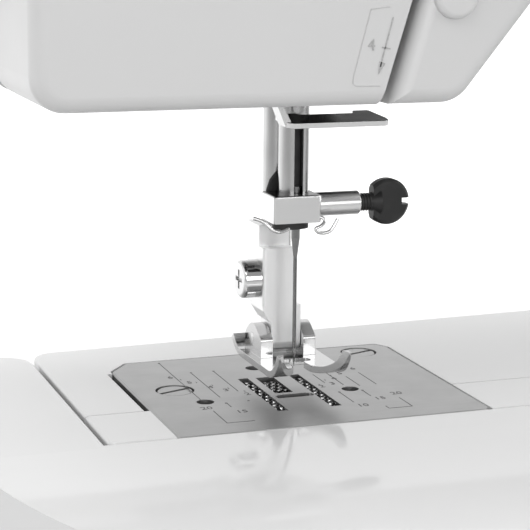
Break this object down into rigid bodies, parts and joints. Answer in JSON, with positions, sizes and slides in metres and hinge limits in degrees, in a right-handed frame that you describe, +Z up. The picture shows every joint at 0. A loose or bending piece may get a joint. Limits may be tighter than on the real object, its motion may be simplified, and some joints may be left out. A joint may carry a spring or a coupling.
{
  "type": "sewing machine",
  "caption": "Domestic free-arm sewing machine with a raised zigzag presser foot, steel needle plate, front dials, handwheel and pull-off extension table.",
  "frame": {"origin": "on the table surface, midway along the overall length and depth", "axes": "+X along the arm towards the handwheel, +Y to the back, +Z up"},
  "size_m": [0.372, 0.17, 0.334],
  "materials": {
    "white_shell": "glossy moulded plastic",
    "grey_shell": "satin moulded plastic",
    "plate_steel": "brushed steel with etched guide lines",
    "bar_steel": "ground steel",
    "chrome_parts": "polished",
    "black_plastic": "satin moulded plastic",
    "black_steel": "blackened steel",
    "cast_frame": "die cast",
    "bronze": "sintered bronze",
    "rubber_black": "moulded rubber",
    "lens": "frosted cover",
    "tray_steel": "zinc coated sheet"
  },
  "bodies": {
    "machine": {"base_tray": "tray_steel", "rubber_feet": "rubber_black", "base_cover": "white_shell", "chassis": "cast_frame", "front_cover": "grey_shell", "rear_cover": "white_shell", "top_lid": "white_shell", "free_arm_front": "white_shell", "free_arm_rear": "white_shell", "pivot_pins": "bar_steel", "bushes": "bronze", "belts": "rubber_black", "motor": "black_steel", "needle_plate": "plate_steel", "plate_screws": "bar_steel", "hook_race": "bar_steel", "bobbin_case": "chrome_parts", "thread_guide_plate": "bar_steel", "tension_spindle": "bar_steel", "lamp_lens": "lens", "thread_cutter": "white_shell", "spool_pins": "white_shell", "power_panel": "black_plastic", "cover_screws": "bar_steel", "lid_fittings": "bar_steel"},
    "face_cover": {"face_cover": "grey_shell"},
    "shuttle_door": {"shuttle_door": "white_shell"},
    "extension_table": {"extension_table": "white_shell"},
    "accessory_lid": {"accessory_lid": "white_shell"},
    "main_drive": {"main_shaft": "bar_steel", "handwheel": "grey_shell"},
    "lower_drive": {"lower_shaft": "bar_steel"},
    "motor_rotor": {"motor_pulley": "black_plastic"},
    "needle_bar": {"needle_bar": "bar_steel", "needle_clamp": "chrome_parts", "needle_thread_guide": "black_steel", "needle": "bar_steel"},
    "clamp_screw": {"clamp_screw": "black_steel"},
    "presser_bar": {"presser_bar": "bar_steel", "presser_spring": "bar_steel", "presser_ankle": "chrome_parts"},
    "ankle_screw": {"ankle_screw": "chrome_parts"},
    "presser_foot": {"presser_foot": "chrome_parts", "foot_pin": "chrome_parts"},
    "presser_lifter": {"presser_lifter": "bar_steel"},
    "feed_lift": {"feed_lift": "bar_steel"},
    "feed_bar": {"feed_bar": "bar_steel", "feed_dogs": "bar_steel"},
    "shuttle_hook": {"shuttle_hook": "chrome_parts"},
    "bobbin": {"bobbin": "chrome_parts"},
    "tension_dial": {"tension_dial": "grey_shell"},
    "take_up_lever": {"take_up_lever": "bar_steel"},
    "pattern_dial": {"pattern_dial": "grey_shell"},
    "length_dial": {"length_dial": "grey_shell"},
    "reverse_lever": {"reverse_lever": "grey_shell"},
    "bobbin_winder": {"bobbin_winder": "white_shell"},
    "winder_stop": {"winder_stop": "white_shell"},
    "carrying_handle": {"carrying_handle": "white_shell"},
    "power_switch": {"power_switch": "black_plastic"},
    "drop_lever": {"drop_lever": "grey_shell"}
  },
  "joints": [
    {"name": "face_cover_hinge", "type": "hinge", "parent": "machine", "child": "face_cover", "pos_m": [-0.171, 0.0128, 0.21], "axis": [0, 0, -1], "range_deg": [0, 95]},
    {"name": "shuttle_door_hinge", "type": "hinge", "parent": "machine", "child": "shuttle_door", "pos_m": [-0.104, -0.0213, 0.0332], "axis": [1, 0, 0], "range_deg": [0, 88]},
    {"name": "table_slide", "type": "slide", "parent": "machine", "child": "extension_table", "axis": [-1, 0, 0], "range_m": [0, 0.2]},
    {"name": "accessory_lid_hinge", "type": "hinge", "parent": "extension_table", "child": "accessory_lid", "pos_m": [-0.1841, 0.001, 0.0163], "axis": [0, -1, 0], "range_deg": [0, 90]},
    {"name": "handwheel_turn", "type": "hinge", "parent": "machine", "child": "main_drive", "pos_m": [0.15, 0.01, 0.236], "axis": [1, 0, 0], "continuous": true},
    {"name": "lower_shaft_turn", "type": "hinge", "parent": "machine", "child": "lower_drive", "pos_m": [0.1, 0.044, 0.042], "axis": [1, 0, 0], "continuous": true},
    {"name": "motor_turn", "type": "hinge", "parent": "machine", "child": "motor_rotor", "pos_m": [0.148, 0.024, 0.052], "axis": [1, 0, 0], "continuous": true},
    {"name": "needle_bar_slide", "type": "slide", "parent": "machine", "child": "needle_bar", "axis": [0, 0, -1], "range_m": [0, 0.026]},
    {"name": "clamp_screw_turn", "type": "hinge", "parent": "needle_bar", "child": "clamp_screw", "pos_m": [-0.09, 0.002, 0.1237], "axis": [1, 0, 0], "range_deg": [0, 360]},
    {"name": "presser_bar_slide", "type": "slide", "parent": "machine", "child": "presser_bar", "axis": [0, 0, 1], "range_m": [-0.0063, 0], "deforming": ["presser_spring"]},
    {"name": "ankle_screw_turn", "type": "hinge", "parent": "presser_bar", "child": "ankle_screw", "pos_m": [-0.112, 0.0124, 0.1046], "axis": [1, 0, 0], "range_deg": [0, 360]},
    {"name": "presser_foot_tilt", "type": "hinge", "parent": "presser_bar", "child": "presser_foot", "pos_m": [-0.104, 0.0122, 0.0902], "axis": [-1, 0, 0], "range_deg": [0, 7]},
    {"name": "presser_lifter_turn", "type": "hinge", "parent": "machine", "child": "presser_lifter", "pos_m": [-0.095, 0.0265, 0.169], "axis": [-1, 0, 0], "range_deg": [0, 30]},
    {"name": "feed_drop", "type": "slide", "parent": "machine", "child": "feed_lift", "axis": [0, 0, -1], "range_m": [0, 0.0026]},
    {"name": "feed_stroke", "type": "slide", "parent": "feed_lift", "child": "feed_bar", "axis": [0, 1, 0], "range_m": [-0.0016, 0.0016]},
    {"name": "hook_swing", "type": "hinge", "parent": "machine", "child": "shuttle_hook", "pos_m": [-0.104, 0.01, 0.046], "axis": [0, 1, 0], "range_deg": [-105, 105]},
    {"name": "bobbin_turn", "type": "hinge", "parent": "machine", "child": "bobbin", "pos_m": [-0.104, -0.01, 0.046], "axis": [0, 1, 0], "continuous": true},
    {"name": "tension_dial_turn", "type": "hinge", "parent": "machine", "child": "tension_dial", "pos_m": [-0.079, -0.018, 0.191], "axis": [1, 0, 0], "range_deg": [-140, 140]},
    {"name": "take_up_swing", "type": "hinge", "parent": "machine", "child": "take_up_lever", "pos_m": [-0.0861, 0.012, 0.236], "axis": [1, 0, 0], "range_deg": [-24, 24]},
    {"name": "pattern_dial_turn", "type": "hinge", "parent": "machine", "child": "pattern_dial", "pos_m": [0.104, -0.03, 0.16], "axis": [0, 1, 0], "continuous": true},
    {"name": "length_dial_turn", "type": "hinge", "parent": "machine", "child": "length_dial", "pos_m": [0.104, -0.03, 0.226], "axis": [0, 1, 0], "range_deg": [0, 270]},
    {"name": "reverse_press", "type": "slide", "parent": "machine", "child": "reverse_lever", "axis": [0, 0, -1], "range_m": [0, 0.009], "stiffness_N_per_m": 300, "springref_m": -0.002},
    {"name": "winder_turn", "type": "hinge", "parent": "machine", "child": "bobbin_winder", "pos_m": [0.124, 0.026, 0.29], "axis": [0, 0, 1], "continuous": true},
    {"name": "winder_stop_slide", "type": "slide", "parent": "machine", "child": "winder_stop", "axis": [-1, 0, 0], "range_m": [0, 0.006]},
    {"name": "handle_swing", "type": "hinge", "parent": "machine", "child": "carrying_handle", "pos_m": [0.033, 0.037, 0.2945], "axis": [-1, 0, 0], "range_deg": [0, 100]},
    {"name": "power_rocker", "type": "hinge", "parent": "machine", "child": "power_switch", "pos_m": [0.155, -0.006, 0.029], "axis": [0, 0, -1], "range_deg": [0, 14]},
    {"name": "drop_lever_slide", "type": "slide", "parent": "machine", "child": "drop_lever", "axis": [-1, 0, 0], "range_m": [0, 0.009]}
  ],
  "couplings": [
    {"joint": "lower_shaft_turn", "follows": "handwheel_turn", "ratio": 1},
    {"joint": "motor_turn", "follows": "handwheel_turn", "ratio": 3.75}
  ]
}
